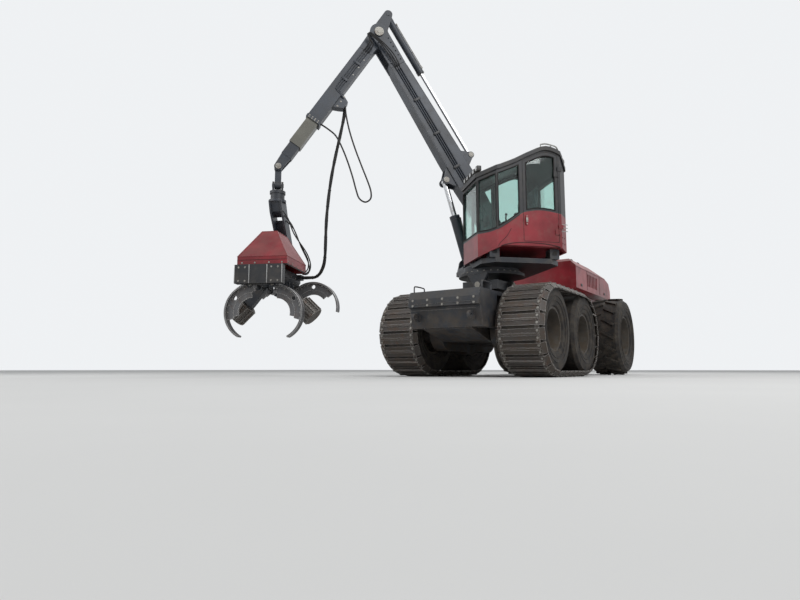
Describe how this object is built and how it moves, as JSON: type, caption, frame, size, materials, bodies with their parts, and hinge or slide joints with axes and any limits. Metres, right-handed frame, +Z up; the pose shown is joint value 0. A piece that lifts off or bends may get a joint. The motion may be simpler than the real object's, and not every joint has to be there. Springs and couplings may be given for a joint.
{
  "type": "forestry harvester",
  "caption": "Six-wheeled forestry harvester with tracked front bogies, a levelled slewing cab beside its crane, a telescopic outer boom and a hanging harvester head.",
  "frame": {"origin": "on the floor under the middle of the machine's box, measured without the two free hoses", "axes": "+X forward on the chassis, +Y to its left, +Z up"},
  "size_m": [8.0676, 5.5135, 6.8105],
  "materials": {
    "dark_frame": "dark blue-grey paint with dust and wear",
    "red_paint": "deep red paint, slightly faded",
    "crane_paint": "dark blue-grey paint, worn on edges",
    "black_paint": "black paint",
    "worn_section": "olive-grey sliding section",
    "track_steel": "worn steel with rust and bright bars",
    "rim_paint": "dusty grey-brown paint",
    "tyre": "dusty black rubber",
    "rod_chrome": "polished",
    "knife_steel": "worn dark steel, bright edges",
    "roller_steel": "worn steel",
    "bar_steel": "brushed",
    "glass": "green-tinted clear glass",
    "seat_fabric": "dark woven fabric",
    "cab_plastic": "dark moulded plastic",
    "lamp": "lamps in black cases",
    "engine_iron": "cast iron",
    "hose": "black rubber hose"
  },
  "bodies": {
    "chassis": {"front_frame": "dark_frame", "bogie_cases": "dark_frame", "bogie_rims": "rim_paint", "bogie_tyres": "tyre", "track_left": "track_steel", "track_right": "track_steel"},
    "rear_chassis": {"rear_frame": "dark_frame", "engine": "engine_iron", "hood": "red_paint"},
    "rear_wheel_left": {"rear_tyre_left": "tyre", "rear_rim_left": "rim_paint"},
    "rear_wheel_right": {"rear_tyre_right": "tyre", "rear_rim_right": "rim_paint"},
    "level_cross": {"level_cross": "dark_frame"},
    "slew_base": {"slew_base": "dark_frame"},
    "platform": {"platform": "dark_frame", "crane_post": "crane_paint", "cab_body": "red_paint", "cab_frame": "black_paint", "cab_roof": "black_paint", "cab_glass": "glass", "seat_base": "cab_plastic", "seat_cushion": "seat_fabric", "work_lamps": "lamp"},
    "door": {"cab_door": "red_paint", "door_glass": "glass"},
    "boom": {"main_boom": "crane_paint"},
    "lift_barrel": {"lift_barrel": "crane_paint"},
    "lift_rod": {"lift_rod": "rod_chrome"},
    "jib_barrel": {"jib_barrel": "crane_paint"},
    "jib_rod": {"jib_rod": "rod_chrome"},
    "outer_boom": {"outer_boom": "crane_paint", "hose_bundle": "hose", "hose_loop": "hose"},
    "extension_inner": {"extension_inner": "worn_section"},
    "extension_tip": {"extension_tip": "crane_paint"},
    "tip_link": {"tip_link": "crane_paint"},
    "rotator": {"rotator": "dark_frame"},
    "head_bracket": {"head_bracket": "crane_paint"},
    "head": {"head_frame": "dark_frame", "head_cover": "red_paint", "saw_box": "black_paint"},
    "front_knife_left": {"front_knife_left": "knife_steel"},
    "front_knife_right": {"front_knife_right": "knife_steel"},
    "rear_knife_left": {"rear_knife_left": "knife_steel"},
    "rear_knife_right": {"rear_knife_right": "knife_steel"},
    "roller_arm_left": {"roller_arm_left": "dark_frame"},
    "roller_arm_right": {"roller_arm_right": "dark_frame"},
    "feed_roller_left": {"feed_roller_left": "roller_steel"},
    "feed_roller_right": {"feed_roller_right": "roller_steel"},
    "saw_bar": {"saw_bar": "bar_steel"}
  },
  "joints": [
    {"name": "steer", "type": "hinge", "parent": "chassis", "child": "rear_chassis", "pos_m": [-0.804, 1.332, 0.9], "axis": [0, 0, 1], "range_deg": [-40, 40]},
    {"name": "rear_wheel_left_spin", "type": "hinge", "parent": "rear_chassis", "child": "rear_wheel_left", "pos_m": [-2.804, 2.382, 0.82], "axis": [0, 1, 0], "continuous": true},
    {"name": "rear_wheel_right_spin", "type": "hinge", "parent": "rear_chassis", "child": "rear_wheel_right", "pos_m": [-2.804, 0.282, 0.82], "axis": [0, 1, 0], "continuous": true},
    {"name": "level_pitch", "type": "hinge", "parent": "chassis", "child": "level_cross", "pos_m": [0.946, 1.332, 1.52], "axis": [0, 1, 0], "range_deg": [-12, 12]},
    {"name": "level_roll", "type": "hinge", "parent": "level_cross", "child": "slew_base", "pos_m": [0.946, 1.332, 1.52], "axis": [1, 0, 0], "range_deg": [-10, 10]},
    {"name": "slew", "type": "hinge", "parent": "slew_base", "child": "platform", "pos_m": [0.946, 1.332, 1.8], "axis": [0, 0, 1], "range_deg": [-75, 165]},
    {"name": "door", "type": "hinge", "parent": "platform", "child": "door", "pos_m": [1.0952, 2.61681, 2.8], "axis": [0, 0, 1], "range_deg": [0, 85]},
    {"name": "lift", "type": "hinge", "parent": "platform", "child": "boom", "pos_m": [0.34496, 1.15522, 2.6], "axis": [0.7071, 0.7071, 0], "range_deg": [-18, 44]},
    {"name": "lift_barrel_turn", "type": "hinge", "parent": "platform", "child": "lift_barrel", "pos_m": [0.73387, 0.76631, 2.05], "axis": [0.7071, 0.7071, 0], "range_deg": [-16, 38]},
    {"name": "lift_rod_slide", "type": "slide", "parent": "lift_barrel", "child": "lift_rod", "axis": [0.1915, -0.1915, 0.9626], "range_m": [-0.56, 0.235]},
    {"name": "jib", "type": "hinge", "parent": "boom", "child": "outer_boom", "pos_m": [1.93837, -0.43818, 6.32083], "axis": [-0.7071, -0.7071, 0], "range_deg": [-20, 90]},
    {"name": "jib_barrel_turn", "type": "hinge", "parent": "outer_boom", "child": "jib_barrel", "pos_m": [1.80996, -0.30978, 6.73257], "axis": [-0.7071, -0.7071, 0], "range_deg": [-90, 20]},
    {"name": "jib_rod_slide", "type": "slide", "parent": "jib_barrel", "child": "jib_rod", "axis": [-0.3663, 0.3663, -0.8554], "range_m": [-0.59, 0.135]},
    {"name": "extend", "type": "slide", "parent": "outer_boom", "child": "extension_inner", "axis": [0.3892, -0.3892, -0.8348], "range_m": [-0.3, 1], "deforming": ["hose_loop"]},
    {"name": "extend_tip", "type": "slide", "parent": "extension_inner", "child": "extension_tip", "axis": [0.3892, -0.3892, -0.8348], "range_m": [-0.3, 1]},
    {"name": "link_swing", "type": "hinge", "parent": "extension_tip", "child": "tip_link", "pos_m": [3.18396, -1.68378, 3.64932], "axis": [-0.7071, -0.7071, 0], "range_deg": [-90, 20]},
    {"name": "side_swing", "type": "hinge", "parent": "tip_link", "child": "rotator", "pos_m": [3.18396, -1.68378, 3.31932], "axis": [0.7071, -0.7071, 0], "range_deg": [-35, 35]},
    {"name": "rotator_spin", "type": "hinge", "parent": "rotator", "child": "head_bracket", "pos_m": [3.18396, -1.68378, 3.04932], "axis": [0, 0, 1], "continuous": true, "deforming": ["hose_bundle"]},
    {"name": "head_tilt", "type": "hinge", "parent": "head_bracket", "child": "head", "pos_m": [2.72718, -1.89678, 1.88932], "axis": [-0.4226, 0.9063, 0], "range_deg": [0, 95]},
    {"name": "front_knives", "type": "hinge", "parent": "head", "child": "front_knife_left", "pos_m": [3.43537, -1.3569, 1.48932], "axis": [0.9063, 0.4226, 0], "range_deg": [-38, 54]},
    {"name": "front_knife_right_turn", "type": "hinge", "parent": "head", "child": "front_knife_right", "pos_m": [3.73645, -1.63579, 1.48932], "axis": [-0.9063, -0.4226, 0], "range_deg": [-38, 54]},
    {"name": "rear_knives", "type": "hinge", "parent": "head", "child": "rear_knife_left", "pos_m": [2.66501, -1.71613, 1.48932], "axis": [0.9063, 0.4226, 0], "range_deg": [-90, 2]},
    {"name": "rear_knife_right_turn", "type": "hinge", "parent": "head", "child": "rear_knife_right", "pos_m": [2.96608, -1.99502, 1.48932], "axis": [-0.9063, -0.4226, 0], "range_deg": [-90, 2]},
    {"name": "roller_arms", "type": "hinge", "parent": "head", "child": "roller_arm_left", "pos_m": [3.11817, -1.50482, 1.48932], "axis": [0.9063, 0.4226, 0], "range_deg": [-44, 12]},
    {"name": "roller_arm_right_turn", "type": "hinge", "parent": "head", "child": "roller_arm_right", "pos_m": [3.27876, -1.84922, 1.48932], "axis": [-0.9063, -0.4226, 0], "range_deg": [-44, 12]},
    {"name": "feed_roller_left_spin", "type": "hinge", "parent": "roller_arm_left", "child": "feed_roller_left", "pos_m": [2.94792, -1.13973, 1.10031], "axis": [-0.304, 0.6519, -0.6947], "continuous": true},
    {"name": "feed_roller_right_spin", "type": "hinge", "parent": "roller_arm_right", "child": "feed_roller_right", "pos_m": [3.449, -2.2143, 1.10031], "axis": [0.304, -0.6519, -0.6947], "continuous": true},
    {"name": "saw_swing", "type": "hinge", "parent": "head", "child": "saw_bar", "pos_m": [3.94093, -1.68388, 1.55932], "axis": [-0.9063, -0.4226, 0], "range_deg": [0, 100]}
  ],
  "couplings": [
    {"joint": "lift_barrel_turn", "follows": "lift", "ratio": 0.84},
    {"joint": "lift_rod_slide", "follows": "lift", "m_per_rad": -0.7219},
    {"joint": "jib_barrel_turn", "follows": "jib", "ratio": -1},
    {"joint": "jib_rod_slide", "follows": "jib", "m_per_rad": -0.3724},
    {"joint": "extend_tip", "follows": "extend", "ratio": 1},
    {"joint": "link_swing", "follows": "jib", "ratio": -1},
    {"joint": "front_knife_right_turn", "follows": "front_knives", "ratio": 1},
    {"joint": "rear_knife_right_turn", "follows": "rear_knives", "ratio": 1},
    {"joint": "roller_arm_right_turn", "follows": "roller_arms", "ratio": 1}
  ]
}
